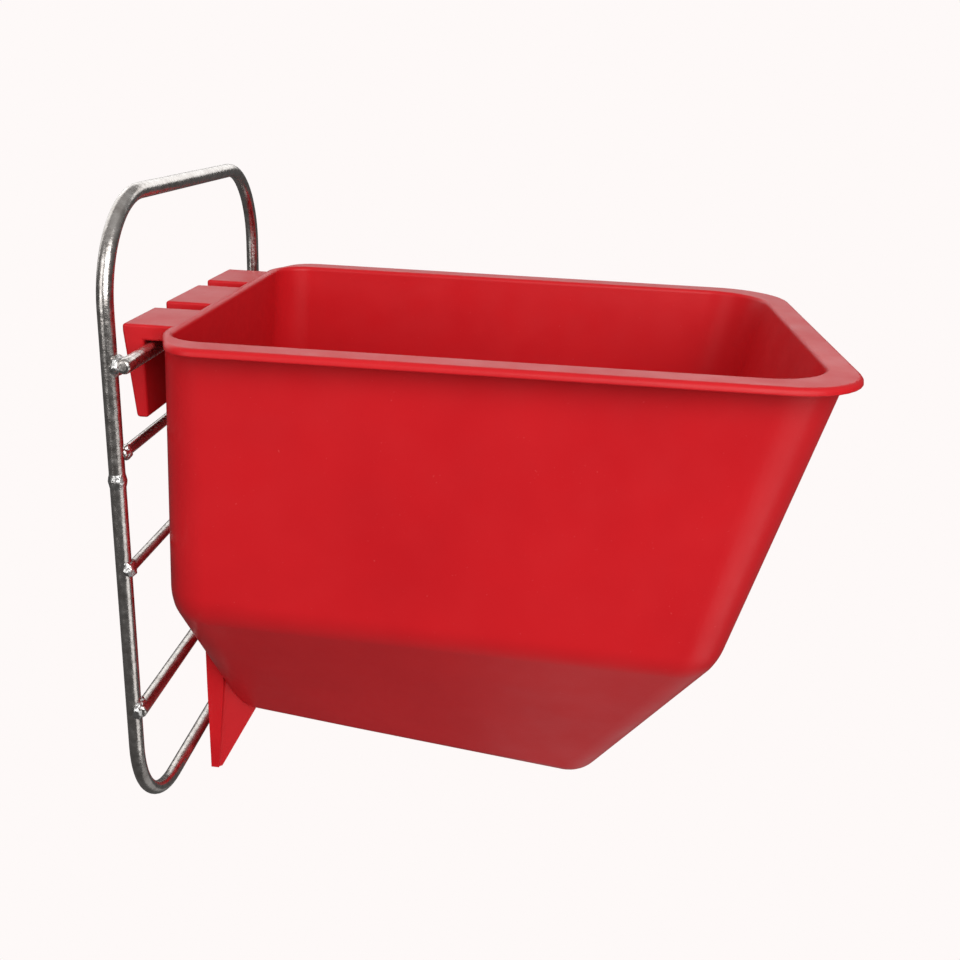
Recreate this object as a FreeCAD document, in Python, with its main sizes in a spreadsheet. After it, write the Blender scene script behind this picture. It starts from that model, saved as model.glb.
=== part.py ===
"""Hook-on stable feed bucket on its wire hanger.

Units are millimetres, +Z is up, +Y points back towards the fence or wall, and X runs across.
The origin is the centre of the hanger's top bar, where the hanger is hung over a board.  The
bucket is drawn from its own zero, on the mid-plane at the top of the rim's back edge, and placed
from there; every depth and distance of the bucket, and the levels of the wire, use that zero.

Pieces: the bucket (one plastic moulding with its rim, hooks and foot), and the hanger, which is
one bent wire loop, four straight rungs, a resistance weld at each end of every rung, and the butt
weld that closes the loop.
"""
import FreeCAD, Part
import os
import Sketcher

App = FreeCAD
doc = App.newDocument("FeedBucket")

# ---------------------------------------------------------------- driving dimensions
DIMENSIONS = [
    # bowl, outside: half width, back and front edges and corner radii at three levels
    ("top_half", 88.0, "half width under the rim"),
    ("top_back", 1.2, "back wall in front of the rim's back edge"),
    ("top_front", 244.6, "front wall at the rim, from the rim's back edge"),
    ("top_back_radius", 18.0, ""),
    ("top_front_radius", 28.0, ""),
    ("knee_half", 82.5, "half width where the walls turn inwards"),
    ("knee_back", -4.0, "the back wall stands this far behind the rim's back edge there"),
    ("knee_front", 213.2, ""),
    ("knee_depth", 108.0, "knee below the rim, at the rim's back edge"),
    ("knee_tilt", 2.2, "degrees, the knee line falls towards the front"),
    ("knee_back_radius", 19.0, ""),
    ("knee_front_radius", 18.0, ""),
    ("knee_fillet", 24.0, "rounding along the knee"),
    ("floor_half", 22.5, "half width of the narrow floor"),
    ("floor_back", 11.5, ""),
    ("floor_front", 171.5, ""),
    ("floor_depth", 184.2, "floor below the rim, measured at the rim's back edge"),
    ("floor_tilt", 8.0, "degrees, the floor falls towards the front"),
    ("floor_radius", 15.0, "corner radius of the floor"),
    ("floor_fillet", 12.0, "rounding along the floor's edge"),
    ("wall", 3.0, "wall thickness"),
    ("inner_front", 7.5, "front wall at the mouth, along Y"),
    ("inner_knee_rise", 1.0, "inside knee above the outside one"),
    ("inner_floor_in", 1.7, "inside floor drawn in from the outside one"),
    ("mouth_edge", 2.0, "rounding of the mouth's edge"),
    ("inner_knee_fillet", 20.0, ""),
    ("inner_floor_fillet", 9.0, ""),
    # rim
    ("rim_half", 98.0, ""),
    ("rim_front", 248.3, "rim's front edge from its back edge"),
    ("rim_corner_in", 26.0, "sloping back corner, across"),
    ("rim_corner_back", 10.0, "sloping back corner, front to back"),
    ("rim_corner_radius", 14.0, "rounding where the sloping corner meets the side"),
    ("rim_front_radius", 30.0, ""),
    ("rim_plate", 2.8, "thickness of the flat rim"),
    ("rim_crown", 2.0, "rounding of the rim's outer edge"),
    # hooks
    ("hook_reach", 17.5, "hooks stand this far behind the rim"),
    ("hook_plate", 6.0, "thickness of a hook's top"),
    ("hook_inner_half", 20.1, "half width of the middle hook"),
    ("hook_side_near", 32.8, "inner edge of a side hook"),
    ("hook_side_far", 65.4, "outer edge of a side hook"),
    ("hook_throat", 9.8, "front face of the leg, behind the rim"),
    ("hook_leg", 35.5, "leg's lower end below the rim"),
    ("hook_tip_front", 9.6, ""),
    ("hook_tip_back", 14.0, ""),
    ("hook_radius", 3.0, "height of the hook's square back edge"),
    ("hook_edge", 1.8, "rounding of the hook's back and lower edges"),
    ("hook_root", 5.0, "the hook's top runs this far into the rim"),
    # foot under the back
    ("foot_half", 29.0, "half width of the foot's rear face"),
    ("foot_step", 2.5, "the wedge is narrower than the plate by this much on each side"),
    ("foot_nose_half", 13.0, "half width of the foot's front"),
    ("foot_rear", 4.3, "rear face of the foot behind the rim's back edge"),
    ("foot_plate", 7.5, "thickness of the foot's outer edge at the top"),
    ("foot_tip", 4.5, "thickness of the tip"),
    ("foot_tip_plate", 3.5, "thickness of the foot's outer edge at the tip"),
    ("foot_depth", 215.0, "tip below the rim"),
    ("foot_tip_in", 0.8, "the foot narrows by this much on each side towards its tip"),
    ("foot_nose_back", 24.0, "front of the foot where it leaves the bowl"),
    ("foot_shoulder", 170.0, "start of the foot's sloping front below the rim"),
    ("foot_edge", 1.5, "rounding of the plate's rear corners"),
    ("foot_top", 113.0, "upper end of the foot on the back wall"),
    # hanger
    ("loop_wire", 5.8, "wire diameter of the loop"),
    ("loop_half", 90.0, "post centre from the mid-plane"),
    ("loop_y", 12.6, "plane of the loop behind the rim's back edge"),
    ("loop_top", 46.5, ""),
    ("loop_bottom", -201.0, ""),
    ("loop_bend", 37.0, "bend radius on the wire's centre line"),
    ("seam_z", -52.0, "butt weld that closes the loop"),
    ("seam_long", 3.2, "half length of the seam's collar"),
    ("seam_proud", 0.45, "collar above the wire"),
]

# Each rung has its wire diameter, its level below the rim, how far its centre stands in front of
# the loop's plane, how far its ends reach past the post's centre, and its weld: centre in from the
# post's centre and in front of it, then half height, half width and half depth of the bead.
RUNG_SIZES = ("wire", "level", "forward", "overhang", "weld_in", "weld_forward",
              "weld_up", "weld_across", "weld_deep")
RUNGS = {
    "hook": (5.5, -9.05, 6.0, 3.4, 0.0, 3.0, 3.9, 4.4, 2.4),
    "upper": (4.0, -42.0, 2.2, 0.0, 3.2, 2.2, 2.9, 1.9, 2.8),
    "middle": (4.0, -86.5, 2.4, 1.8, 0.0, 2.2, 3.3, 3.6, 2.4),
    "lower": (5.5, -146.0, 3.4, 3.4, 0.0, 2.5, 4.2, 4.6, 2.6),
}
for rung_name, sizes in RUNGS.items():
    for size, value in zip(RUNG_SIZES, sizes):
        DIMENSIONS.append(("%s_%s" % (rung_name, size), value, ""))

dims = doc.addObject("Spreadsheet::Sheet", "Dims")
for row, (name, value, note) in enumerate(DIMENSIONS, start=1):
    dims.set("A%d" % row, name)
    dims.set("B%d" % row, str(value))
    dims.set("C%d" % row, note)
    dims.setAlias("B%d" % row, name)
doc.recompute()


# ---------------------------------------------------------------- helpers
def new_body(name):
    """A PartDesign body whose file name is its label."""
    body = doc.addObject("PartDesign::Body", name)
    body.Label = name
    body.setExpression("Placement.Base.y", "-Dims.loop_y")
    body.setExpression("Placement.Base.z", "-Dims.loop_top")
    return body


def origin_plane(body, role):
    return next(f for f in body.Origin.OriginFeatures if f.Role == role)


def new_sketch(body, name, role="XY_Plane", lift=None, tilt=None):
    """A sketch on one of the body's origin planes, lifted and tilted by expressions."""
    sketch = body.newObject("Sketcher::SketchObject", name)
    sketch.AttachmentSupport = [(origin_plane(body, role), "")]
    sketch.MapMode = "FlatFace"
    if tilt:
        sketch.AttachmentOffset = App.Placement(App.Vector(), App.Rotation(App.Vector(1, 0, 0), 1))
        sketch.setExpression(".AttachmentOffset.Rotation.Angle", tilt)
    if lift:
        sketch.setExpression(".AttachmentOffset.Base.z", lift)
    return sketch


def drive(sketch, constraint, name, expression):
    """Add a named constraint and bind it to the sheet."""
    index = sketch.addConstraint(constraint)
    sketch.renameConstraint(index, name)
    sketch.setExpression("Constraints." + name, expression)


def rounded_section(sketch, half, back, front, back_radius, front_radius, guess):
    """A rectangle with four rounded corners, alike about the Y axis.

    half, back and front are expressions; back and front give distances in front of Y 0.
    guess holds rough numbers (half, back, front, back radius, front radius) to start from.
    """
    w, b, f, rb, rf = guess
    v = App.Vector
    lines = [(v(w, -b - rb), v(w, -f + rf)), (v(w - rf, -f), v(-w + rf, -f)),
             (v(-w, -f + rf), v(-w, -b - rb)), (v(-w + rb, -b), v(w - rb, -b))]
    for start, end in lines:
        sketch.addGeometry(Part.LineSegment(start, end))
    up = v(0, 0, 1)
    half_turn = 3.141592653589793 / 2
    arcs = [(v(w - rf, -f + rf), rf, 3), (v(-w + rf, -f + rf), rf, 2),
            (v(-w + rb, -b - rb), rb, 1), (v(w - rb, -b - rb), rb, 0)]
    for centre, radius, quarter in arcs:
        circle = Part.Circle(centre, up, radius)
        sketch.addGeometry(Part.ArcOfCircle(circle, quarter * half_turn, (quarter + 1) * half_turn))
    # lines run clockwise and arcs anticlockwise: line end meets arc end, arc start meets next line
    for line, arc, following in ((0, 4, 1), (1, 5, 2), (2, 6, 3), (3, 7, 0)):
        sketch.addConstraint(Sketcher.Constraint("Tangent", line, 2, arc, 2))
        sketch.addConstraint(Sketcher.Constraint("Tangent", arc, 1, following, 1))
    sketch.addConstraint(Sketcher.Constraint("Vertical", 0))
    sketch.addConstraint(Sketcher.Constraint("Symmetric", 1, 1, 1, 2, -2))
    sketch.addConstraint(Sketcher.Constraint("Symmetric", 3, 1, 3, 2, -2))
    sketch.addConstraint(Sketcher.Constraint("Equal", 4, 5))
    sketch.addConstraint(Sketcher.Constraint("Equal", 6, 7))
    drive(sketch, Sketcher.Constraint("Radius", 4, rf), "front_radius", front_radius)
    drive(sketch, Sketcher.Constraint("Radius", 6, rb), "back_radius", back_radius)
    drive(sketch, Sketcher.Constraint("DistanceX", -1, 1, 0, 1, w), "half", half)
    drive(sketch, Sketcher.Constraint("DistanceY", 1, 1, -1, 1, f), "front", front)
    sign = 1 if b >= 0 else -1
    ends = (3, 1, -1, 1) if sign > 0 else (-1, 1, 3, 1)
    text = back if sign > 0 else "-(%s)" % back
    drive(sketch, Sketcher.Constraint("DistanceY", *ends, abs(b)), "back", text)


def polygon(sketch, points):
    """Closed polygon; every corner is (x, y, x expression, y expression) from the origin."""
    v = App.Vector
    first = sketch.GeometryCount
    count = len(points)
    for i in range(count):
        x0, y0 = points[i][:2]
        x1, y1 = points[(i + 1) % count][:2]
        sketch.addGeometry(Part.LineSegment(v(x0, y0), v(x1, y1)))
    for i in range(count):
        sketch.addConstraint(Sketcher.Constraint("Coincident", first + i, 2, first + (i + 1) % count, 1))
    for i, (x, y, x_text, y_text) in enumerate(points):
        for axis, kind, value, text in (("x", "DistanceX", x, x_text), ("y", "DistanceY", y, y_text)):
            if text is None:
                on_axis = Sketcher.Constraint("PointOnObject", first + i, 1, -2 if axis == "x" else -1)
                sketch.addConstraint(on_axis)
                continue
            name = "%s%d" % (axis, first + i)
            if value >= 0:
                drive(sketch, Sketcher.Constraint(kind, -1, 1, first + i, 1, value), name, text)
            else:
                drive(sketch, Sketcher.Constraint(kind, first + i, 1, -1, 1, -value), name,
                      "-(%s)" % text)


def loft(body, kind, name, sketches):
    feature = body.newObject("PartDesign::" + kind, name)
    feature.Profile = sketches[0]
    feature.Sections = sketches[1:]
    feature.Ruled = True
    for sketch in sketches:
        sketch.Visibility = False
    doc.recompute()
    return feature


def pad(body, name, sketch, length, reverse=False, both_ways=False):
    feature = body.newObject("PartDesign::Pad", name)
    feature.Profile = sketch
    feature.setExpression("Length", length)
    feature.Reversed = reverse
    feature.Midplane = both_ways
    doc.recompute()
    return feature


def edges_on(shape, wire):
    """Names of the shape's edges that lie on a sketch's wire."""
    def touches(edge):
        middle = edge.valueAt((edge.FirstParameter + edge.LastParameter) / 2)
        points = [vertex.Point for vertex in edge.Vertexes] + [middle]
        return all(wire.distToShape(Part.Vertex(point))[0] < 0.05 for point in points)
    return ["Edge%d" % (i + 1) for i, edge in enumerate(shape.Edges) if touches(edge)]


def edges_where(shape, test):
    return ["Edge%d" % (i + 1) for i, edge in enumerate(shape.Edges) if test(edge)]


def height(edge):
    return edge.CenterOfMass.z


def fillet(body, name, base, names, radius):
    feature = body.newObject("PartDesign::Fillet", name)
    feature.Base = (base, names)
    feature.setExpression("Radius", radius)
    doc.recompute()
    return feature


# ---------------------------------------------------------------- bucket: flat rim with a rounded edge
bucket = new_body("bucket")
rim = new_sketch(bucket, "RimOutline")
polygon(rim, [
    (98, -10, "Dims.rim_half", "-Dims.rim_corner_back"), (98, -248, "Dims.rim_half", "-Dims.rim_front"),
    (-98, -248, "-Dims.rim_half", "-Dims.rim_front"),
    (-98, -10, "-Dims.rim_half", "-Dims.rim_corner_back"),
    (-72, 0, "-(Dims.rim_half - Dims.rim_corner_in)", None),
    (72, 0, "Dims.rim_half - Dims.rim_corner_in", None)])
shape = pad(bucket, "RimSlab", rim, "Dims.rim_plate", reverse=True)


def upright_at(near, far):
    """Test for the upright edges whose Y lies between two values."""
    return lambda edge: edge.BoundBox.ZLength > 2 and near < edge.CenterOfMass.y < far


shape = fillet(bucket, "RimFrontCorners", shape, edges_where(shape.Shape, upright_at(-260, -200)),
               "Dims.rim_front_radius")
shape = fillet(bucket, "RimBackCorners", shape, edges_where(shape.Shape, upright_at(-20, -5)),
               "Dims.rim_corner_radius")

shape = fillet(bucket, "RimCrown", shape,
               edges_where(shape.Shape, lambda e: abs(height(e)) < 0.01 and e.CenterOfMass.y < -1),
               "Dims.rim_crown")

# ---------------------------------------------------------------- bucket: outside of the bowl
KNEE_Z, FLOOR_Z = "-Dims.knee_depth", "-Dims.floor_depth"
top = new_sketch(bucket, "BowlTop")
rounded_section(top, "Dims.top_half", "Dims.top_back", "Dims.top_front", "Dims.top_back_radius",
                "Dims.top_front_radius", (88, 1.2, 244.6, 18, 28))
knee = new_sketch(bucket, "BowlKnee", lift=KNEE_Z, tilt="Dims.knee_tilt")
rounded_section(knee, "Dims.knee_half", "Dims.knee_back", "Dims.knee_front", "Dims.knee_back_radius",
                "Dims.knee_front_radius", (82.5, -4, 213, 19, 18))
floor = new_sketch(bucket, "BowlFloor", lift=FLOOR_Z, tilt="Dims.floor_tilt")
rounded_section(floor, "Dims.floor_half", "Dims.floor_back", "Dims.floor_front", "Dims.floor_radius",
                "Dims.floor_radius", (22.5, 11.5, 171.5, 15, 15))
shape = loft(bucket, "AdditiveLoft", "BowlOutside", [top, knee, floor])
shape = fillet(bucket, "KneeRounding", shape, edges_on(shape.Shape, knee.Shape), "Dims.knee_fillet")
shape = fillet(bucket, "FloorRounding", shape, edges_on(shape.Shape, floor.Shape), "Dims.floor_fillet")

# ---------------------------------------------------------------- bucket: three hooks
PLATE_Z, TIP_Z = "-Dims.hook_plate", "-Dims.hook_leg"


def hook_profile(sketch):
    """Inverted L seen from the side: flat top, then a leg that tapers downwards."""
    polygon(sketch, [
        (-5, 0, "-Dims.hook_root", None), (17.5, 0, "Dims.hook_reach", None),
        (17.5, -3, "Dims.hook_reach", "-Dims.hook_radius"),
        (14, -35, "Dims.hook_tip_back", TIP_Z), (9.6, -35, "Dims.hook_tip_front", TIP_Z),
        (9.8, -6, "Dims.hook_throat", PLATE_Z), (-5, -6, "-Dims.hook_root", PLATE_Z)])


HOOKS = [("Middle", "-Dims.hook_inner_half", "2 * Dims.hook_inner_half"),
         ("Left", "-Dims.hook_side_far", "Dims.hook_side_far - Dims.hook_side_near"),
         ("Right", "Dims.hook_side_near", "Dims.hook_side_far - Dims.hook_side_near")]
for name, start, width in HOOKS:
    profile = new_sketch(bucket, name + "HookProfile", role="YZ_Plane", lift=start)
    hook_profile(profile)
    shape = pad(bucket, name + "Hook", profile, width)


def is_hook_back_edge(edge):
    box = edge.BoundBox
    return box.YMin > 13.9 and not (box.ZLength < 0.01 and -3.1 < box.ZMin < -2.9)


shape = fillet(bucket, "HookEdges", shape, edges_where(shape.Shape, is_hook_back_edge),
               "Dims.hook_edge")

# ---------------------------------------------------------------- bucket: foot under the back
def foot_section(sketch, rear_half, plate, step, nose_half, nose_back, guess):
    """A plate along the rear with a wedge in front; guess gives rough numbers for the five sizes."""
    w, t, r, n, y = guess
    side = "Dims.foot_rear - %s" % plate
    root = "%s - %s" % (rear_half, step)
    front = "-(%s)" % nose_back
    polygon(sketch, [
        (w, 4.3, rear_half, "Dims.foot_rear"), (-w, 4.3, "-(%s)" % rear_half, "Dims.foot_rear"),
        (-w, t, "-(%s)" % rear_half, side), (-r, t, "-(%s)" % root, side),
        (-n, -y, "-(%s)" % nose_half, front), (n, -y, nose_half, front),
        (r, t, root, side), (w, t, rear_half, side)])


UPPER = ("Dims.foot_half", "Dims.foot_plate", "Dims.foot_step", "Dims.foot_nose_half",
         "Dims.foot_nose_back", (29, -3.2, 26.5, 13, 24))
TIP = ("Dims.foot_half - Dims.foot_tip_in", "Dims.foot_tip_plate", "Dims.foot_tip_in",
       "Dims.foot_half - 3 * Dims.foot_tip_in", "Dims.foot_tip - Dims.foot_rear",
       (28.2, 0.8, 27.4, 26.6, 0.2))
foot_levels = []
for name, level, sizes in [("FootTop", "-Dims.foot_top", UPPER),
                           ("FootMiddle", "-Dims.foot_shoulder", UPPER),
                           ("FootTip", "-Dims.foot_depth", TIP)]:
    level_sketch = new_sketch(bucket, name, lift=level)
    foot_section(level_sketch, *sizes)
    foot_levels.append(level_sketch)
shape = loft(bucket, "AdditiveLoft", "Foot", foot_levels)


def is_foot_rear_corner(edge):
    """The upright corners of the plate's rear face."""
    box = edge.BoundBox
    outer = box.XMin > 28 or box.XMax < -28
    return outer and box.ZMax < -108 and box.ZLength > 20 and box.YMin > 4


shape = fillet(bucket, "FootCorners", shape, edges_where(shape.Shape, is_foot_rear_corner),
               "Dims.foot_edge")

# ---------------------------------------------------------------- bucket: inside of the bowl
inner_top = new_sketch(bucket, "InsideTop")
rounded_section(inner_top, "Dims.top_half - Dims.wall", "Dims.top_back + Dims.wall",
                "Dims.top_front - Dims.inner_front", "Dims.top_back_radius - Dims.wall",
                "Dims.top_front_radius - Dims.wall", (85, 4.2, 237.1, 15, 25))
inner_knee = new_sketch(bucket, "InsideKnee", lift="-(Dims.knee_depth - Dims.inner_knee_rise)",
                        tilt="Dims.knee_tilt")
rounded_section(inner_knee, "Dims.knee_half - Dims.wall", "Dims.knee_back + Dims.wall",
                "Dims.knee_front - Dims.wall", "Dims.knee_back_radius - Dims.wall",
                "Dims.knee_front_radius - Dims.wall", (79.5, -1, 210, 16, 15))
inner_floor = new_sketch(bucket, "InsideFloor", lift="-(Dims.floor_depth - Dims.wall)",
                         tilt="Dims.floor_tilt")
rounded_section(inner_floor, "Dims.floor_half - Dims.inner_floor_in",
                "Dims.floor_back + Dims.inner_floor_in", "Dims.floor_front - Dims.inner_floor_in",
                "Dims.floor_radius - Dims.inner_floor_in", "Dims.floor_radius - Dims.inner_floor_in",
                (20.8, 13.2, 169.8, 13.3, 13.3))
shape = loft(bucket, "SubtractiveLoft", "BowlInside", [inner_top, inner_knee, inner_floor])
shape = fillet(bucket, "InnerKneeRounding", shape, edges_on(shape.Shape, inner_knee.Shape),
               "Dims.inner_knee_fillet")
shape = fillet(bucket, "InnerFloorRounding", shape, edges_on(shape.Shape, inner_floor.Shape),
               "Dims.inner_floor_fillet")
shape = fillet(bucket, "MouthEdge", shape, edges_on(shape.Shape, inner_top.Shape), "Dims.mouth_edge")

# ---------------------------------------------------------------- hanger: the bent wire loop
loop = new_body("hanger_loop")
path = new_sketch(loop, "LoopPath", role="XZ_Plane", lift="-Dims.loop_y")
rounded_section(path, "Dims.loop_half", "-Dims.loop_top", "-Dims.loop_bottom", "Dims.loop_bend",
                "Dims.loop_bend", (90, -46, 201, 37, 37))
section = new_sketch(loop, "WireSection")
section.addGeometry(Part.Circle(App.Vector(90, 12.6, 0), App.Vector(0, 0, 1), 2.9))
drive(section, Sketcher.Constraint("Diameter", 0, 5.8), "wire", "Dims.loop_wire")
drive(section, Sketcher.Constraint("DistanceX", -1, 1, 0, 3, 90), "across", "Dims.loop_half")
drive(section, Sketcher.Constraint("DistanceY", -1, 1, 0, 3, 12.6), "behind", "Dims.loop_y")
sweep = loop.newObject("PartDesign::AdditivePipe", "LoopWire")
sweep.Profile = section
sweep.Spine = (path, ["Edge%d" % (i + 1) for i in range(8)])
doc.recompute()


# ---------------------------------------------------------------- hanger: rungs and their welds
def primitive(kind, name, at, axis=None, **sizes):
    """A Part primitive whose sizes and position are expressions."""
    solid = doc.addObject("Part::" + kind, name)
    if axis:
        solid.Placement = App.Placement(App.Vector(), App.Rotation(App.Vector(0, 0, 1), axis))
    for size, text in sizes.items():
        solid.setExpression(size, text)
    for letter, text in zip("xyz", at):
        if text:
            solid.setExpression("Placement.Base." + letter, text)
    return solid


def cut(label, base, tools):
    """Base less its tools, as a node of its own."""
    tool = tools[0]
    if len(tools) > 1:
        tool = doc.addObject("Part::MultiFuse", label + "_tools")
        tool.Shapes = tools
    node = doc.addObject("Part::Cut", label)
    node.Label = label
    node.Base = base
    node.Tool = tool
    return node


RUNG_END_ROUNDING = 0.6


def whole_rung(name):
    """A straight rung with its ends rounded off."""
    reach = "(Dims.loop_half + Dims.%s_overhang)" % name
    bar = primitive("Cylinder", name + "_bar",
                    ("-" + reach, "-Dims.%s_forward" % name, "Dims.%s_level - Dims.loop_top" % name),
                    axis=App.Vector(1, 0, 0), Radius="Dims.%s_wire / 2" % name,
                    Height="2 * " + reach)
    doc.recompute()
    rounded = doc.addObject("Part::Fillet", name + "_bar_rounded")
    rounded.Base = bar
    ends = [i + 1 for i, edge in enumerate(bar.Shape.Edges) if edge.BoundBox.XLength < 0.01]
    rounded.Edges = [(i, RUNG_END_ROUNDING, RUNG_END_ROUNDING) for i in ends]
    return rounded


nodes = [bucket, loop]
for rung_name in RUNGS:
    bar = whole_rung(rung_name)
    nodes.append(cut("rung_" + rung_name, bar, [loop]))
    bead = primitive("Ellipsoid", rung_name + "_bead",
                     ("-(Dims.loop_half - Dims.%s_weld_in)" % rung_name,
                      "-Dims.%s_weld_forward" % rung_name,
                      "Dims.%s_level - Dims.loop_top" % rung_name),
                     axis=App.Vector(1, 0, 0), Radius1="Dims.%s_weld_across" % rung_name,
                     Radius2="Dims.%s_weld_up" % rung_name,
                     Radius3="Dims.%s_weld_deep" % rung_name)
    left = cut("weld_%s_left" % rung_name, bead, [loop, bar])
    right = doc.addObject("Part::Mirroring", "weld_%s_right" % rung_name)
    right.Label = right.Name
    right.Source = left
    right.Normal = App.Vector(1, 0, 0)
    nodes += [left, right]

collar = primitive("Ellipsoid", "seam_collar",
                   ("-Dims.loop_half", None, "Dims.seam_z - Dims.loop_top"),
                   Radius1="Dims.seam_long", Radius2="Dims.loop_wire / 2 + Dims.seam_proud",
                   Radius3="Dims.loop_wire / 2 + Dims.seam_proud")
nodes.append(cut("weld_loop_seam", collar, [loop]))
doc.recompute()

# ---------------------------------------------------------------- checks and STEP files
for item in doc.Objects:
    if "Invalid" in item.State or "Error" in item.State:
        raise RuntimeError("%s did not recompute: %s" % (item.Name, item.State))
os.makedirs("parts", exist_ok=True)
for node in nodes:
    solids = node.Shape.Solids
    if not node.Shape.isValid() or len(solids) != 1:
        raise RuntimeError("%s is not one valid solid (%d)" % (node.Label, len(solids)))
    node.Shape.exportStep("parts/%s.step" % node.Label)
    box = node.Shape.BoundBox
    print("%-22s %9.1f mm3  x %.1f..%.1f  y %.1f..%.1f  z %.1f..%.1f" % (
        node.Label, node.Shape.Volume, box.XMin, box.XMax, box.YMin, box.YMax, box.ZMin, box.ZMax))
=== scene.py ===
"""Looks of the hook-on feed bucket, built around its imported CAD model.

The bucket is a grid of smooth rings run from its outside floor, up and over the rim, and down to
its inside floor, with its hooks and foot joined on.  The hanger is drawn wire: tubes along the same
lines as the CAD wires, with lumpy beads at the welds.

Lengths are millimetres in the tables below and in the shape functions, measured from the bucket's
own zero: on the mid-plane, at the top of the rim's back edge.  place() turns them into the frame's
metres.  +Z is up, +Y points back to the wall, and the bowl slopes out towards -Y.
"""
import math

import bmesh
import bpy
import numpy as np
from mathutils import Matrix, Vector, noise


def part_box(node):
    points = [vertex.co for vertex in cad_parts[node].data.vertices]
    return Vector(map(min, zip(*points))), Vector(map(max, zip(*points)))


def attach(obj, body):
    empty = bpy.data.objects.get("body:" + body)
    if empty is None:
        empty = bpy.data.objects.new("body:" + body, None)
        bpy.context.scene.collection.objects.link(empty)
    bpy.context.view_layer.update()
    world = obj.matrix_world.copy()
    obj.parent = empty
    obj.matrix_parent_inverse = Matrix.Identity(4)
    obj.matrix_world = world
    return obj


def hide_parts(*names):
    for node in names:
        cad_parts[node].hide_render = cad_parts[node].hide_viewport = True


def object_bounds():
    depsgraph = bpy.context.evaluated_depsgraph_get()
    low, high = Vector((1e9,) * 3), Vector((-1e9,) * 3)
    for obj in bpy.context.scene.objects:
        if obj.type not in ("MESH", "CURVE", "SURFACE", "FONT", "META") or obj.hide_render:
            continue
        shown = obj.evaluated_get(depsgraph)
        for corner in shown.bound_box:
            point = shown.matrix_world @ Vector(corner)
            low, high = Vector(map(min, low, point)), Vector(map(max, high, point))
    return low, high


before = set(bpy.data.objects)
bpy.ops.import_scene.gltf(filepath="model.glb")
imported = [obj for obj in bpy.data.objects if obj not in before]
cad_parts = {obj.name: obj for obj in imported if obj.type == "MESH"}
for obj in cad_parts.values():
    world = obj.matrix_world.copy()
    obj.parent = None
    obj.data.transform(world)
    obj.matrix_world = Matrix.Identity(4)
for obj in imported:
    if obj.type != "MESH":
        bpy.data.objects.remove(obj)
cad_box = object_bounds()

MM = 0.001
bucket_low, bucket_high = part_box("bucket")

# ---------------------------------------------------------------- driving sizes, mm
HOOK_REACH = 17.5
RIM_HALF = (bucket_high.x - bucket_low.x) / 2 / MM
RIM_FRONT = (bucket_high.y - bucket_low.y) / MM - HOOK_REACH
FOOT_DEPTH = (bucket_high.z - bucket_low.z) / MM
ZERO = Vector((0, bucket_high.y - HOOK_REACH * MM, bucket_high.z))

# the bowl's outside at three levels; back and front are measured forward from the zero
TOP = dict(half=88.0, back=1.2, front=244.6, back_radius=18.0, front_radius=28.0)
KNEE = dict(half=82.5, back=-4.0, front=213.2, back_radius=19.0, front_radius=18.0)
FLOOR = dict(half=22.5, back=3.0, front=171.5, back_radius=15.0, front_radius=15.0)
# depth of the plane below the zero, its tilt in degrees, and its edge's rounding at back and front
KNEE_DEPTH, KNEE_TILT, KNEE_FILLET = 108.0, 2.2, (24.0, 22.0)
FLOOR_DEPTH, FLOOR_TILT, FLOOR_FILLET = 184.2, 8.0, (12.0, 16.0)
# a rounding changes from its back to its front radius between these distances from the zero
FILLET_CHANGE = (60.0, 160.0)
# the margin from an outline to the flat face that closes the floor, outside and inside
FLAT_OUT, FLAT_IN = 14.0, 10.0

WALL, FLOOR_WALL, MOUTH_FRONT, KNEE_WALL = 3.0, 1.7, 7.5, 1.0
MOUTH_FILLET, KNEE_IN_FILLET, FLOOR_IN_FILLET = 2.0, 20.0, 9.0
RIM_PLATE, RIM_CROWN, RIM_UNDER, RIM_NECK = 2.8, 2.3, 0.4, 2.5
RIM_CORNER_IN, RIM_CORNER_BACK, RIM_CORNER_RADIUS, RIM_FRONT_RADIUS = 26.0, 10.0, 14.0, 30.0
RIM_CORNER_SOFT = 2.5

# the core that trims the foot stands this far inside the outside skin
CORE_MARGIN, CORE_TOP, CORE_KNEE_FILLET, CORE_FLOOR_FILLET = 1.5, 20.0, 18.0, 11.0

# where each hook starts and ends in X
HOOKS = {"middle": (-20.1, 20.1), "left": (-65.4, -32.8), "right": (32.8, 65.4)}
# a hook's root inside the rim, in Y; then levels: its arm's underside, the crease and the lower end
HOOK_ROOT, HOOK_UNDER, HOOK_CREASE, HOOK_END, HOOK_ROUND = -1.8, -6.0, -3.0, -35.5, 1.1
# its leg's front face in Y at the arm and at the lower end, and its rear face at the lower end
HOOK_LEG, HOOK_END_FRONT, HOOK_END_REAR = 9.8, 9.6, 14.0
# the foot's rear face in Y, then half widths: its plate and its wedge, above and at the tip
FOOT_REAR, FOOT_HALF, FOOT_TIP_HALF, FOOT_ROOT, FOOT_TIP_ROOT = 4.3, 29.0, 28.2, 26.5, 27.4
FOOT_ROUND, FOOT_INNER_ROUND = 1.5, 2.0

CORNER_STEPS = 12
SIDE_STEPS, BACK_STEPS, FRONT_STEPS = 16, 16, 8
SHARP_ANGLE = 38


def place(points):
    """Millimetres from the bucket's zero to metres in the frame."""
    return np.asarray(points, float) * MM + np.array(ZERO)


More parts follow.
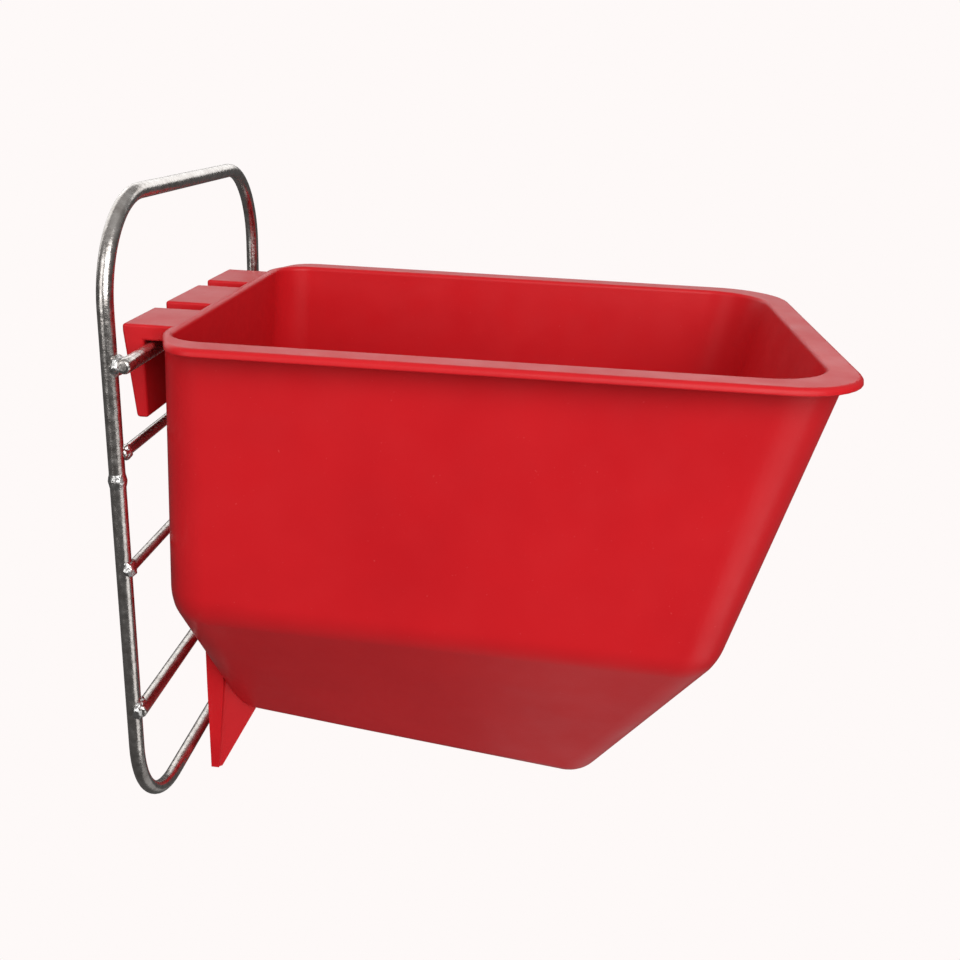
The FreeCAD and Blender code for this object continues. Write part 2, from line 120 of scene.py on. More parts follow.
# ---------------------------------------------------------------- mesh helpers
def new_object(name, points, faces, material, slot, body, *nodes):
    """A smooth mesh piece in the frame's metres, riding on a body in place of its CAD nodes."""
    mesh = bpy.data.meshes.new(name)
    mesh.from_pydata([tuple(p) for p in points], [], faces)
    mesh.validate()
    piece = bpy.data.objects.new(name, mesh)
    bpy.context.scene.collection.objects.link(piece)
    mesh.materials.append(material)
    tidy_normals(mesh)
    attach(piece, body)
    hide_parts(*nodes)


def tidy_normals(mesh):
    """Faces turned outwards and shaded smooth."""
    bm = bmesh.new()
    bm.from_mesh(mesh)
    bmesh.ops.recalc_face_normals(bm, faces=bm.faces)
    bm.to_mesh(mesh)
    bm.free()
    mesh.polygons.foreach_set("use_smooth", [True] * len(mesh.polygons))


def arc(centre, radius, start, end, steps):
    """Points on a circle from one angle to another, in degrees, both ends included."""
    angles = np.radians(np.linspace(start, end, steps + 1))
    return [(centre[0] + radius * math.cos(a), centre[1] + radius * math.sin(a)) for a in angles]


def straight(a, b, steps):
    """Points between a and b, without either end."""
    return [tuple(np.array(a) + (np.array(b) - np.array(a)) * i / steps) for i in range(1, steps)]


def mirrored(half_outline):
    """A closed outline from its +X half, which starts at the back and ends at the front, at X 0."""
    left = [(-x, y) for x, y in reversed(half_outline[1:-1])]
    return np.array(half_outline + left)


def rounded_outline(half, back, front, back_radius, front_radius):
    """Rounded rectangle, the bowl's outline at one level."""
    back_arc = arc((half - back_radius, -back - back_radius), back_radius, 90, 0, CORNER_STEPS)
    front_arc = arc((half - front_radius, -front + front_radius), front_radius, 0, -90, CORNER_STEPS)
    points = [(0, -back)] + straight((0, -back), back_arc[0], BACK_STEPS) + back_arc
    points += straight(back_arc[-1], front_arc[0], SIDE_STEPS) + front_arc
    points += straight(front_arc[-1], (0, -front), FRONT_STEPS) + [(0, -front)]
    return mirrored(points)


def rim_outline():
    """The rim's outline, with its two sloping back corners."""
    inner = np.array([RIM_HALF - RIM_CORNER_IN, 0.0])
    outer = np.array([RIM_HALF, -RIM_CORNER_BACK])
    toward = (outer - inner) / np.linalg.norm(outer - inner)
    fall = math.atan2(RIM_CORNER_IN, RIM_CORNER_BACK)
    soft = RIM_CORNER_SOFT
    centre = (RIM_HALF - RIM_CORNER_RADIUS, outer[1] - RIM_CORNER_RADIUS * math.tan(fall / 2))
    radius = RIM_FRONT_RADIUS
    half_outline = [(0, 0)] + quadratic((inner[0] - soft, 0), inner, inner + toward * soft, 4)
    half_outline += arc(centre, RIM_CORNER_RADIUS, math.degrees(fall), 0, 16)
    half_outline += arc((RIM_HALF - radius, -RIM_FRONT + radius), radius, 0, -90, 32)
    return mirrored(half_outline + [(0, -RIM_FRONT)])


def cast_out(ring, outline):
    """Where the outward normals of a ring's points meet a larger outline."""
    tangent = np.roll(ring, -1, axis=0) - np.roll(ring, 1, axis=0)
    normal = np.column_stack([-tangent[:, 1], tangent[:, 0]])
    normal /= np.linalg.norm(normal, axis=1, keepdims=True)
    edge = np.roll(outline, -1, axis=0) - outline
    met = []
    for point, out in zip(ring, normal):
        between = outline - point
        cross = out[0] * edge[:, 1] - out[1] * edge[:, 0]
        cross = np.where(np.abs(cross) < 1e-9, 1e-9, cross)
        along = (between[:, 0] * edge[:, 1] - between[:, 1] * edge[:, 0]) / cross
        part = (between[:, 0] * out[1] - between[:, 1] * out[0]) / cross
        hit = (along > 0) & (part >= -1e-6) & (part <= 1 + 1e-6)
        met.append(point + out * along[hit].min())
    return np.array(met)


def quadratic(a, b, c, steps):
    """Points on the parabola from a to c that has its corner at b."""
    a, b, c = (np.array(p, float) for p in (a, b, c))
    return [tuple(a * (1 - t) ** 2 + 2 * b * t * (1 - t) + c * t * t)
            for t in np.linspace(0, 1, steps + 1)]


def on_plane(outline, depth, tilt=0.0):
    """An outline lifted onto a plane that is level across and falls towards the front by tilt."""
    angle = math.radians(tilt)
    return np.column_stack([outline[:, 0], outline[:, 1] * math.cos(angle),
                            -depth + outline[:, 1] * math.sin(angle)])


# how much of a stretch its two arcs may take up together
SHARED = 0.96


def rounded_rings(stations):
    """Rings along the stations, each corner turned into an arc of its radius.

    A station is (ring, radius, steps); a radius may differ from point to point round the ring.
    Two neighbouring arcs share the stretch between them in proportion to their radii, and an arc
    that would need more than its share is made smaller.
    """
    rings = [stations[0][0]]
    for (before, first, _), (here, radius, steps), (after, last, _) in zip(stations, stations[1:],
                                                                          stations[2:]):
        own = np.max(radius)
        into_share, out_share = (SHARED * own / (own + np.max(other)) for other in (first, last))
        into, out = here - before, after - here
        into_length = np.linalg.norm(into, axis=1, keepdims=True)
        out_length = np.linalg.norm(out, axis=1, keepdims=True)
        into, out = into / into_length, out / out_length
        cosine = np.clip((into * out).sum(1, keepdims=True), -0.999, 0.9999)
        half_turn = np.arccos(cosine) / 2
        reach = np.reshape(radius * np.ones(len(here)), (-1, 1)) * np.tan(half_turn)
        reach = np.minimum(reach, np.minimum(into_share * into_length, out_share * out_length))
        weight = np.cos(half_turn)
        start, end = here - into * reach, here + out * reach
        for t in np.linspace(0, 1, steps + 1):
            a, b, c = (1 - t) ** 2, 2 * t * (1 - t) * weight, t * t
            rings.append((a * start + b * here + c * end) / (a + b + c))
    rings.append(stations[-1][0])
    return rings


def skin(rings):
    """Points and faces of a stack of equal rings, closed by a flat face at each end."""
    count = len(rings[0])
    points = np.concatenate(rings)
    faces = []
    for level in range(len(rings) - 1):
        for i in range(count):
            a, b = level * count + i, level * count + (i + 1) % count
            faces.append((a, b, b + count, a + count))
    faces.append(tuple(range(count)))
    faces.append(tuple(range(len(points) - 1, len(points) - 1 - count, -1)))
    return points, faces


# ---------------------------------------------------------------- bucket
def drawn_in(sizes, by, front=None):
    """A level's outline, smaller by an even margin, or by another one at the front."""
    return rounded_outline(half=sizes["half"] - by, back=sizes["back"] + by,
                           front=sizes["front"] - (by if front is None else front),
                           back_radius=sizes["back_radius"] - by,
                           front_radius=sizes["front_radius"] - by)


def softness(outline, back, front):
    """A rounding that changes from the bowl's back to its front."""
    return np.interp(-outline[:, 1], FILLET_CHANGE, (back, front))


def bowl_stations():
    """Corners of the bucket's cross-section, from the outside floor over the rim to the inside."""
    floor_out = rounded_outline(**FLOOR)
    knee_out = rounded_outline(**KNEE)
    top_out = rounded_outline(**TOP)
    rim = cast_out(top_out, rim_outline())
    mouth = drawn_in(TOP, WALL, MOUTH_FRONT)
    knee_in = drawn_in(KNEE, WALL)
    floor_in = drawn_in(FLOOR, FLOOR_WALL)
    depth_in = FLOOR_DEPTH - WALL
    return [
        (on_plane(drawn_in(FLOOR, FLAT_OUT), FLOOR_DEPTH, FLOOR_TILT), 0, 0),
        (on_plane(floor_out, FLOOR_DEPTH, FLOOR_TILT), softness(floor_out, *FLOOR_FILLET), 10),
        (on_plane(knee_out, KNEE_DEPTH, KNEE_TILT), softness(knee_out, *KNEE_FILLET), 16),
        (on_plane(top_out, RIM_PLATE), RIM_NECK, 6),
        (on_plane(rim, RIM_PLATE), RIM_UNDER, 4),
        (on_plane(rim, 0), RIM_CROWN, 6),
        (on_plane(mouth, 0), MOUTH_FILLET, 6),
        (on_plane(knee_in, KNEE_DEPTH - KNEE_WALL, KNEE_TILT), KNEE_IN_FILLET, 14),
        (on_plane(floor_in, depth_in, FLOOR_TILT), FLOOR_IN_FILLET, 8),
        (on_plane(drawn_in(FLOOR, FLAT_IN), depth_in, FLOOR_TILT), 0, 0)]


def core_stations():
    """The solid that stands a little inside the outside skin, and trims the foot to the wall."""
    depth = FLOOR_DEPTH - CORE_MARGIN
    return [
        (on_plane(drawn_in(FLOOR, FLAT_OUT), depth, FLOOR_TILT), 0, 0),
        (on_plane(drawn_in(FLOOR, CORE_MARGIN), depth, FLOOR_TILT), CORE_FLOOR_FILLET, 8),
        (on_plane(drawn_in(KNEE, CORE_MARGIN), KNEE_DEPTH, KNEE_TILT), CORE_KNEE_FILLET, 12),
        (on_plane(drawn_in(TOP, CORE_MARGIN), CORE_TOP), 0, 0)]


def round_edges(bm, edges, radius, segments):
    """Bevel edges to a round."""
    bmesh.ops.bevel(bm, geom=edges, offset=radius, segments=segments, profile=0.5,
                    affect="EDGES", clamp_overlap=True)


def upright(edge):
    """Whether one of the foot's edges runs down it, not across."""
    return abs(edge.verts[0].co.z - edge.verts[1].co.z) > 20


def hook_solid(start, end):
    """One hook: an inverted L drawn out between two X positions, all its edges rounded but those at
    its root, which the rim takes in, and the crease across its back.
    """
    profile = [(HOOK_ROOT, 0.0), (HOOK_REACH, 0.0), (HOOK_REACH, HOOK_CREASE),
               (HOOK_END_REAR, HOOK_END), (HOOK_END_FRONT, HOOK_END), (HOOK_LEG, HOOK_UNDER),
               (HOOK_ROOT, HOOK_UNDER)]
    bm = bmesh.new()
    sides = [[bm.verts.new((x, y, z)) for y, z in profile] for x in (start, end)]
    count = len(profile)
    bm.faces.new(sides[0])
    bm.faces.new(reversed(sides[1]))
    for i in range(count):
        j = (i + 1) % count
        bm.faces.new((sides[0][j], sides[0][i], sides[1][i], sides[1][j]))
    bmesh.ops.recalc_face_normals(bm, faces=bm.faces)
    edges = [e for e in bm.edges if any(v.co.y > 0 for v in e.verts)
             and not all(abs(v.co.z - HOOK_CREASE) < 0.01 for v in e.verts)]
    round_edges(bm, edges, HOOK_ROUND, 4)
    return bm


def foot_solid():
    """The plate and wedge under the back, before they are trimmed to the bowl's wall."""
    # level, half width, thickness of the outer edge, then the wedge: half width at that edge and at
    # its nose, and how far forward the nose stands
    levels = [(-113.0, FOOT_HALF, 7.5, FOOT_ROOT, 13.0, -24.0),
              (-170.0, FOOT_HALF, 7.5, FOOT_ROOT, 13.0, -24.0),
              (-FOOT_DEPTH, FOOT_TIP_HALF, 3.5, FOOT_TIP_ROOT, 26.6, -0.4)]
    bm = bmesh.new()
    rings = []
    for z, side, plate, root, nose_half, nose in levels:
        edge = FOOT_REAR - plate
        right = [(side, FOOT_REAR), (side, edge), (root, edge), (nose_half, nose)]
        corners = right[::-1] + [(-x, y) for x, y in right]
        rings.append([bm.verts.new((x, y, z)) for x, y in corners])
    bm.faces.new(rings[0])
    bm.faces.new(reversed(rings[-1]))
    for upper, lower in zip(rings, rings[1:]):
        for i in range(len(upper)):
            j = (i + 1) % len(upper)
            bm.faces.new((upper[i], upper[j], lower[j], lower[i]))
    bmesh.ops.recalc_face_normals(bm, faces=bm.faces)
    # the concave edges where the wedge meets the plate
    middle = (FOOT_ROOT + FOOT_TIP_ROOT) / 2
    inner = [e for e in bm.edges if upright(e)
             and all(abs(abs(v.co.x) - middle) < 0.5 and v.co.y < 1.0 for v in e.verts)]
    round_edges(bm, inner, FOOT_INNER_ROUND, 5)
    # the tip's edges, then the outer upright ones
    soft = [e for e in bm.edges if all(v.co.z < -FOOT_DEPTH + 0.1 for v in e.verts)]
    soft += [e for e in bm.edges if upright(e)
             and all(abs(v.co.x) > FOOT_HALF - 1.0 for v in e.verts)]
    round_edges(bm, soft, FOOT_ROUND, 5)
    # the rounding may push points a little below the tip
    for v in bm.verts:
        v.co.z = max(v.co.z, -FOOT_DEPTH)
    return bm


def solid_object(name, shape):
    """A helper solid in millimetres, for joining, from a bmesh or from points and faces."""
    mesh = bpy.data.meshes.new(name)
    if isinstance(shape, tuple):
        points, faces = shape
        mesh.from_pydata([tuple(p) for p in points], [], faces)
    else:
        shape.to_mesh(mesh)
        shape.free()
    helper = bpy.data.objects.new(name, mesh)
    bpy.context.scene.collection.objects.link(helper)
    tidy_normals(mesh)
    return helper


def combine(base, tool, operation):
    """base joined with tool, or less it; the tool goes."""
    modifier = base.modifiers.new("combine", "BOOLEAN")
    modifier.operation = operation
    modifier.solver = "EXACT"
    modifier.object = tool
    apply_modifiers(base)
    bpy.data.objects.remove(tool)


def apply_modifiers(piece):
    """Make the result of a piece's modifiers its mesh."""
    graph = bpy.context.evaluated_depsgraph_get()
    mesh = bpy.data.meshes.new_from_object(piece.evaluated_get(graph))
    piece.modifiers.clear()
    piece.data = mesh


def make_bucket(material):
    """The one plastic moulding: the bowl and rim, with the foot and the three hooks joined on."""
    shell = solid_object("bucket_moulding", skin(rounded_rings(bowl_stations())))
    core = solid_object("core", skin(rounded_rings(core_stations())))
    foot = solid_object("foot", foot_solid())
    combine(foot, core, "DIFFERENCE")
    combine(shell, foot, "UNION")
    for name, (start, end) in HOOKS.items():
        combine(shell, solid_object("hook_" + name, hook_solid(start, end)), "UNION")

    mesh = shell.data
    mesh.transform(Matrix.Translation(ZERO) @ Matrix.Scale(MM, 4))
    mesh.materials.clear()
    mesh.materials.append(material)
    tidy_normals(mesh)
    mesh.set_sharp_from_angle(angle=math.radians(SHARP_ANGLE))
    weighted = shell.modifiers.new("normals", "WEIGHTED_NORMAL")
    weighted.keep_sharp = True
    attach(shell, "bucket")
    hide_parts("bucket")


# ---------------------------------------------------------------- hanger wire, mm
LOOP_WIRE = 5.8
# the wire's centre line: half width, plane, upper and lower level, and radius of the bends
LOOP_HALF, LOOP_Y, LOOP_TOP, LOOP_BOTTOM, LOOP_BEND = 90.0, 12.6, 46.5, -201.0, 37.0
BEND_STEPS, RUN_STEPS = 18, 12
# how much of its thickness the wire loses in the middle of a bend
BEND_SQUEEZE = 0.035
# each rung: wire, level, how far in front of the loop's plane, reach past the post's centre
RUNGS = {"hook": (5.5, -9.05, 6.0, 3.4), "upper": (4.0, -42.0, 2.2, 0.0),
         "middle": (4.0, -86.5, 2.4, 1.8), "lower": (5.5, -146.0, 3.4, 3.4)}
# its weld bead: centre in from the post and in front of it, then half width, depth and height
BEADS = {"hook": (0.0, 3.0, 4.4, 2.4, 3.9), "upper": (3.2, 2.2, 1.9, 2.8, 2.9),
         "middle": (0.0, 2.2, 3.6, 2.4, 3.3), "lower": (0.0, 2.5, 4.6, 2.6, 4.2)}
SEAM_LEVEL, SEAM_HALF, SEAM_SWELL, SEAM_EDGE = -52.0, 3.0, 0.5, 0.12
WIRE_SIDES, RUNG_SIDES, RUNG_STEPS = 28, 24, 24
# rounding of a rung's ends, and how far in from them its plain stretch starts
RUNG_ROUND, RUNG_END = 1.5, 6.0
# how far lumps stand in or out of a weld, and how wide they are
BEAD_LUMPS, BEAD_GRAIN, SEAM_LUMPS = (0.9, 2.2), (0.35, 0.8), (0.12, 1.4)


def ring_about(centre, along, side, radius, sides=WIRE_SIDES):
    """A circle of points square to along, starting at side."""
    along = along / np.linalg.norm(along)
    side = side / np.linalg.norm(side)
    other = np.cross(along, side)
    return [centre + radius * (math.cos(a) * side + math.sin(a) * other)
            for a in np.linspace(0, 2 * math.pi, sides, endpoint=False)]


def make_loop(material):
    """The bent wire loop: a closed tube with true bends, a little flattened at each bend."""
    half, top, bottom, bend = LOOP_HALF, LOOP_TOP, LOOP_BOTTOM, LOOP_BEND
    centres = [(half - bend, top - bend, 0), (-half + bend, top - bend, 90),
               (-half + bend, bottom + bend, 180), (half - bend, bottom + bend, 270)]
    line, bent = [], []
    for cx, cz, start in centres:
        corner = arc((cx, cz), bend, start, start + 90, BEND_STEPS)
        if line:
            run = straight(line[-1], corner[0], RUN_STEPS)
            line += run
            bent += [0.0] * len(run)
        line += corner
        bent += [math.sin(math.pi * i / BEND_STEPS) for i in range(BEND_STEPS + 1)]
    run = straight(line[-1], line[0], RUN_STEPS)
    line += run
    bent += [0.0] * len(run)
    count = len(line)
    back = np.array([0.0, 1.0, 0.0])
    points = []
    for i, (x, z) in enumerate(line):
        ahead, behind = line[(i + 1) % count], line[i - 1]
        along = np.array([ahead[0] - behind[0], 0.0, ahead[1] - behind[1]])
        ring = ring_about(np.zeros(3), along, back, LOOP_WIRE / 2)
        along = along / np.linalg.norm(along)
        outward = np.cross(along, back)
        squeeze = BEND_SQUEEZE * bent[i]
        for p in ring:
            p = p - outward * np.dot(p, outward) * squeeze
            points.append(p + np.array([x, LOOP_Y, z]))
    sides = len(points) // count
    faces = [(i * sides + j, i * sides + (j + 1) % sides,
              (i + 1) % count * sides + (j + 1) % sides, (i + 1) % count * sides + j)
             for i in range(count) for j in range(sides)]
    new_object("wire_loop", place(points), faces, material, "hanger_wire", "hanger", "hanger_loop")


def make_rung(name, material):
    """A sheared length of wire with slightly rounded ends."""
    wire, level, forward, reach = RUNGS[name]
    radius, end = wire / 2, LOOP_HALF + reach
    soft = RUNG_ROUND
    # distance in from the end, and radius there
    profile = [(0.0, radius * 0.2), (0.03, radius - soft)]
    profile += [(soft - soft * math.cos(a), radius - soft + soft * math.sin(a))
                for a in np.linspace(0.2, math.pi / 2, 5)]
    stations = [(-end + x, r) for x, r in profile]
    stations += [(x, radius) for x in np.linspace(-end + RUNG_END, end - RUNG_END, RUNG_STEPS)]
    stations += [(end - x, r) for x, r in reversed(profile)]
    rings = [np.array(ring_about(np.array([x, LOOP_Y - forward, level]), np.array([1.0, 0, 0]),
                                 np.array([0, 0, 1.0]), r, RUNG_SIDES)) for x, r in stations]
    points, faces = skin(rings)
    new_object("wire_rung_" + name, place(points), faces, material, "hanger_wire", "hanger",
               "rung_" + name)


def lumpy(points, centre, amount, size, seed):
    """Points pushed in and out by smooth noise, the same each run."""
    moved = []
    for p in points:
        away = p - centre
        away = away / max(np.linalg.norm(away), 1e-9)
        push = noise.noise(Vector(p / size) + Vector((seed * 7.3, seed * 3.1, seed)))
        moved.append(p + away * amount * push)
    return moved


def make_bead(name, side, material):
    """A weld bead: a lumpy blob that wets both wires."""
    inward, forward, across, deep, up = BEADS[name]
    sign = -1 if side == "left" else 1
    centre = np.array([sign * (LOOP_HALF - inward), LOOP_Y - forward, RUNGS[name][1]])
    bm = bmesh.new()
    bmesh.ops.create_icosphere(bm, subdivisions=4, radius=1.0)
    unit = [np.array(v.co) for v in bm.verts]
    faces = [tuple(v.index for v in f.verts) for f in bm.faces]
    bm.free()
    seed = 1 + list(BEADS).index(name) * 2 + (side == "right")
    points = [centre + u * np.array([across, deep, up]) for u in unit]
    points = lumpy(points, centre, *BEAD_LUMPS, seed)
    points = lumpy(points, centre, *BEAD_GRAIN, seed + 20)
    new_object("weld_bead_%s_%s" % (name, side), place(points), faces, material, "weld_metal",
               "hanger", "weld_%s_%s" % (name, side))


def make_seam(material):
    """The collar of squeezed metal round the butt weld on the left post."""
    radius = LOOP_WIRE / 2
    rings = []
    for t in np.linspace(-1, 1, 17):
        centre = np.array([-LOOP_HALF, LOOP_Y, SEAM_LEVEL + SEAM_HALF * t])
        swell = SEAM_SWELL * (math.cos(math.pi * t) + 1) / 2 - SEAM_EDGE * (abs(t) > 0.93)
        rings.append(np.array(ring_about(centre, np.array([0, 0, 1.0]), np.array([1.0, 0, 0]),
                                         radius + swell)))
    points, faces = skin(rings)
    points = lumpy(points, np.array([-LOOP_HALF, LOOP_Y, SEAM_LEVEL]), *SEAM_LUMPS, 40)
    new_object("weld_seam", place(points), faces, material, "weld_metal", "hanger",
               "weld_loop_seam")


# ---------------------------------------------------------------- materials
def new_material(name):
    """A material with its node list, its links and its main shader."""
    material = bpy.data.materials.new(name)
    material.use_nodes = True
    nodes, links = material.node_tree.nodes, material.node_tree.links
    return material, nodes, links, nodes["Principled BSDF"]


def add_noise(nodes, links, coordinates, scale, detail=2.0, roughness=0.5):
    """A smooth noise value, about 0.5 on average."""
    texture = nodes.new("ShaderNodeTexNoise")
    texture.inputs["Scale"].default_value = scale
    texture.inputs["Detail"].default_value = detail
    texture.inputs["Roughness"].default_value = roughness
    links.new(coordinates, texture.inputs["Vector"])
    return texture.outputs["Fac"]


def remap(nodes, links, value, low, high, out_low, out_high):
    """A value stretched from one range to another, and held at its ends."""
    node = nodes.new("ShaderNodeMapRange")
    node.inputs["From Min"].default_value = low
    node.inputs["From Max"].default_value = high
    node.inputs["To Min"].default_value = out_low
    node.inputs["To Max"].default_value = out_high
    links.new(value, node.inputs["Value"])
    return node.outputs["Result"]


def blend_colours(nodes, links, factor, first, second):
    """A mix of two colours, each a tuple or another node's output."""
    node = nodes.new("ShaderNodeMix")
    node.data_type = "RGBA"
    for socket, colour in (("A", first), ("B", second)):
        target = next(i for i in node.inputs if i.name == socket and i.type == "RGBA")
        if isinstance(colour, tuple):
            target.default_value = colour
        else:
            links.new(colour, target)
    links.new(factor, node.inputs["Factor"])
    return next(o for o in node.outputs if o.type == "RGBA")


def add_bump(nodes, links, height, strength, distance, normal=None):
    """A normal that shows a height as relief, on top of an earlier normal."""
    node = nodes.new("ShaderNodeBump")
    node.inputs["Strength"].default_value = strength
    node.inputs["Distance"].default_value = distance
    links.new(height, node.inputs["Height"])
    if normal is not None:
        links.new(normal, node.inputs["Normal"])
    return node.outputs["Normal"]


def plastic_material():
    """Satin red polypropylene: faint flow clouds, pale specks, an orange-peel skin, slow ripples."""
    material, nodes, links, shader = new_material("red_polypropylene")
    where = nodes.new("ShaderNodeTexCoord").outputs["Object"]
    red, deep, pale = (0.62, 0.012, 0.017, 1), (0.57, 0.010, 0.015, 1), (0.72, 0.10, 0.10, 1)
    clouds = remap(nodes, links, add_noise(nodes, links, where, 18, 3), 0.35, 0.7, 0, 1)
    colour = blend_colours(nodes, links, clouds, red, deep)
    specks = remap(nodes, links, add_noise(nodes, links, where, 900, 2), 0.73, 0.80, 0, 0.7)
    colour = blend_colours(nodes, links, specks, colour, pale)
    links.new(colour, shader.inputs["Base Color"])
    patchy = remap(nodes, links, add_noise(nodes, links, where, 60, 4), 0.3, 0.7, 0.30, 0.42)
    links.new(patchy, shader.inputs["Roughness"])
    shader.inputs["Specular IOR Level"].default_value = 0.22
    peel = add_noise(nodes, links, where, 1400, 2)
    ripple = add_noise(nodes, links, where, 45, 2)
    normal = add_bump(nodes, links, peel, 0.10, 0.0003)
    normal = add_bump(nodes, links, ripple, 0.08, 0.0015, normal)
    links.new(normal, shader.inputs["Normal"])
    return material


def wire_material():
    """Bright plated drawn wire: fine dents and a cloudy plating."""
    material, nodes, links, shader = new_material("plated_wire")
    where = nodes.new("ShaderNodeTexCoord").outputs["Object"]
    tone = remap(nodes, links, add_noise(nodes, links, where, 260, 4, 0.6), 0.3, 0.7, 0, 1)
    colour = blend_colours(nodes, links, tone, (0.42, 0.385, 0.36, 1), (0.66, 0.63, 0.60, 1))
    links.new(colour, shader.inputs["Base Color"])
    shader.inputs["Metallic"].default_value = 1.0
    rough = remap(nodes, links, add_noise(nodes, links, where, 500, 3), 0.3, 0.7, 0.18, 0.34)
    links.new(rough, shader.inputs["Roughness"])
    dents = add_noise(nodes, links, where, 420, 3, 0.6)
    links.new(add_bump(nodes, links, dents, 0.35, 0.0004), shader.inputs["Normal"])
    return material


def weld_material():
    """Plated weld metal, with deeper pits and stronger changes of tone than the wire."""
    material, nodes, links, shader = new_material("plated_weld")
    where = nodes.new("ShaderNodeTexCoord").outputs["Object"]
    tone = remap(nodes, links, add_noise(nodes, links, where, 700, 4, 0.6), 0.3, 0.7, 0, 1)
    colour = blend_colours(nodes, links, tone, (0.42, 0.41, 0.40, 1), (0.78, 0.77, 0.75, 1))
    links.new(colour, shader.inputs["Base Color"])
    shader.inputs["Metallic"].default_value = 1.0
    rough = remap(nodes, links, add_noise(nodes, links, where, 900, 3), 0.3, 0.7, 0.12, 0.34)
    links.new(rough, shader.inputs["Roughness"])
    pits = add_noise(nodes, links, where, 900, 3, 0.6)
    links.new(add_bump(nodes, links, pits, 0.5, 0.0005), shader.inputs["Normal"])
    return material


def floor_material():
    """A matt pale floor that fades out into the surround."""
    material, nodes, links, shader = new_material("pale_floor")
    where = nodes.new("ShaderNodeTexCoord").outputs["Object"]
    tone = add_noise(nodes, links, where, 6, 2)
    colour = blend_colours(nodes, links, tone, (0.86, 0.822, 0.815, 1), (0.88, 0.841, 0.834, 1))
    links.new(colour, shader.inputs["Base Color"])
    shader.inputs["Roughness"].default_value = 0.9
    shader.inputs["Specular IOR Level"].default_value = 0.1
    away = nodes.new("ShaderNodeVectorMath")
    away.operation = "LENGTH"
    links.new(where, away.inputs[0])
    fade = remap(nodes, links, away.outputs["Value"], 0.1 * STAGE_RADIUS, 0.9 * STAGE_RADIUS, 1, 0)
    links.new(fade, shader.inputs["Alpha"])
    return material


# ---------------------------------------------------------------- stage, metres
STAGE_DROP, STAGE_RADIUS = 0.60, 0.55
SURROUND = (0.991, 0.947, 0.939, 1)
CARD_SIZE, CARD_SIDE, CARD_REAR, CARD_DROP = (0.60, 0.45), 0.10, -0.11, 0.45
# the camera goes round the bucket from its front, up, and turns about its line of sight
ORBIT, RISE, ROLL = math.radians(-86.299), math.radians(19.845), math.radians(2.786)
TARGET = Vector((-0.0005, -0.1249, -0.1209))
DISTANCE, LENS = 0.4747, 40.65


def make_floor():
    """A pale disc far below the hung bucket, which throws a little light up at it."""
    bm = bmesh.new()
    bmesh.ops.create_circle(bm, cap_ends=True, segments=96, radius=STAGE_RADIUS)
    mesh = bpy.data.meshes.new("studio_floor")
    bm.to_mesh(mesh)
    bm.free()
    mesh.materials.append(floor_material())
    floor = bpy.data.objects.new("studio_floor", mesh)
    floor.location = (0, TARGET.y, cad_box[0].z - STAGE_DROP)
    # reflections show the lamps and the room, and not the disc
    floor.visible_glossy = False
    bpy.context.scene.collection.objects.link(floor)


def from_target(orbit, rise):
    """The direction from the bucket to a camera or lamp that goes round it and up by two angles."""
    return Vector((math.sin(orbit) * math.cos(rise), -math.cos(orbit) * math.cos(rise),
                   math.sin(rise)))


def add_lamp(name, size, power, location, rotation):
    """A rectangular lamp that the camera doesn't see."""
    light = bpy.data.lights.new(name, "AREA")
    light.shape = "RECTANGLE"
    light.size, light.size_y = size
    light.energy = power
    lamp = bpy.data.objects.new(name, light)
    lamp.location = location
    lamp.rotation_euler = rotation
    lamp.visible_camera = False
    bpy.context.scene.collection.objects.link(lamp)
    return lamp


def soft_box(name, orbit, rise, distance, size, power):
    """A softbox that looks at the bucket; orbit and rise are in degrees."""
    back = from_target(math.radians(orbit), math.radians(rise))
    rotation = back.to_track_quat("Z", "Y").to_euler()
    return add_lamp(name, size, power, TARGET + back * distance, rotation)


def under_card(power):
    """A dim lamp in place of a pale card under the bowl's front; the sloping underside shows it as a
    soft grey patch.
    """
    location = (CARD_SIDE, CARD_REAR - CARD_SIZE[1] / 2, cad_box[0].z - CARD_DROP)
    add_lamp("card", CARD_SIZE, power, location, (math.pi, 0, 0))


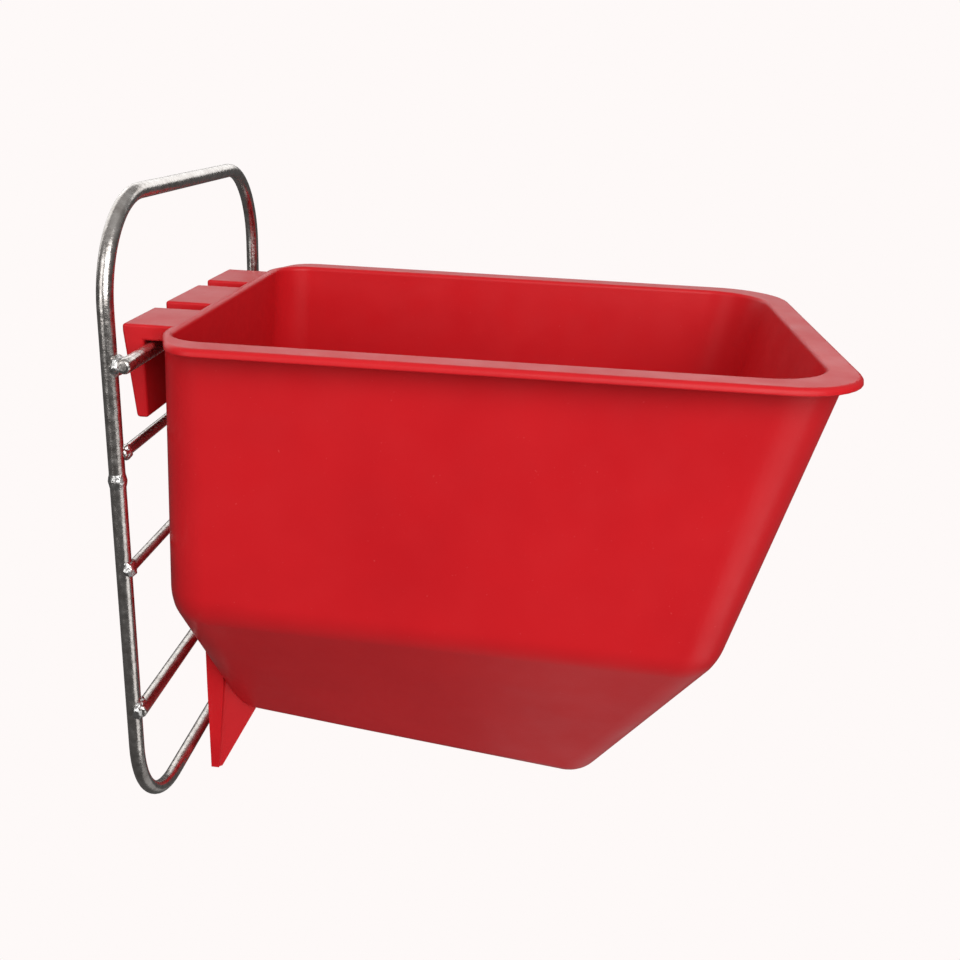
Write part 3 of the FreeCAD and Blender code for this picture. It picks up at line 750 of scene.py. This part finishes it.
def make_world():
    """A bright ceiling over a dim room; the camera itself sees a plain pale surround."""
    world = bpy.data.worlds.new("studio")
    bpy.context.scene.world = world
    world.use_nodes = True
    nodes, links = world.node_tree.nodes, world.node_tree.links
    room = nodes["Background"]
    direction = nodes.new("ShaderNodeTexCoord").outputs["Generated"]
    split = nodes.new("ShaderNodeSeparateXYZ")
    links.new(direction, split.inputs["Vector"])
    strength = remap(nodes, links, split.outputs["Z"], 0.05, 0.75, 0.10, 0.36)
    links.new(strength, room.inputs["Strength"])
    room.inputs["Color"].default_value = (1.0, 0.985, 0.98, 1)
    surround = nodes.new("ShaderNodeBackground")
    surround.inputs["Color"].default_value = SURROUND
    either = nodes.new("ShaderNodeMixShader")
    links.new(nodes.new("ShaderNodeLightPath").outputs["Is Camera Ray"], either.inputs["Fac"])
    links.new(room.outputs["Background"], either.inputs[1])
    links.new(surround.outputs["Background"], either.inputs[2])
    links.new(either.outputs["Shader"], nodes["World Output"].inputs["Surface"])


def make_camera():
    """A camera that looks at the target, rolled a little."""
    back = from_target(ORBIT, RISE)
    right = (-back).cross(Vector((0, 0, 1))).normalized()
    up = right.cross(-back)
    across = right * math.cos(ROLL) + up * math.sin(ROLL)
    upward = -right * math.sin(ROLL) + up * math.cos(ROLL)
    data = bpy.data.cameras.new("camera")
    data.sensor_width = 36.0
    data.lens = LENS
    data.clip_start, data.clip_end = 0.01, 50
    camera = bpy.data.objects.new("camera", data)
    turn = Matrix((across, upward, back)).transposed().to_4x4()
    camera.matrix_world = Matrix.Translation(TARGET + back * DISTANCE) @ turn
    bpy.context.scene.collection.objects.link(camera)
    bpy.context.scene.camera = camera


# ---------------------------------------------------------------- the scene
make_camera()
make_floor()
make_world()
soft_box("key", -62, 28, 1.5, (1.3, 1.3), 20.2)
soft_box("fill", -125, 18, 1.6, (0.8, 1.4), 7)
soft_box("top", 0, 88, 1.4, (1.6, 1.6), 1.0)
sheen = soft_box("sheen", 95, 26, 1.3, (1.8, 0.5), 4.0)
sheen.visible_diffuse = False
soft_box("rear", 150, 26, 1.5, (1.2, 1.2), 5)
soft_box("low", -32, -30, 1.0, (0.7, 0.5), 1.4)
under_card(0.26)
bpy.context.scene.view_settings.view_transform = "Standard"

plastic, wire, weld = plastic_material(), wire_material(), weld_material()
make_bucket(plastic)
make_loop(wire)
for rung_name in RUNGS:
    make_rung(rung_name, wire)
    for side in ("left", "right"):
        make_bead(rung_name, side, weld)
make_seam(weld)
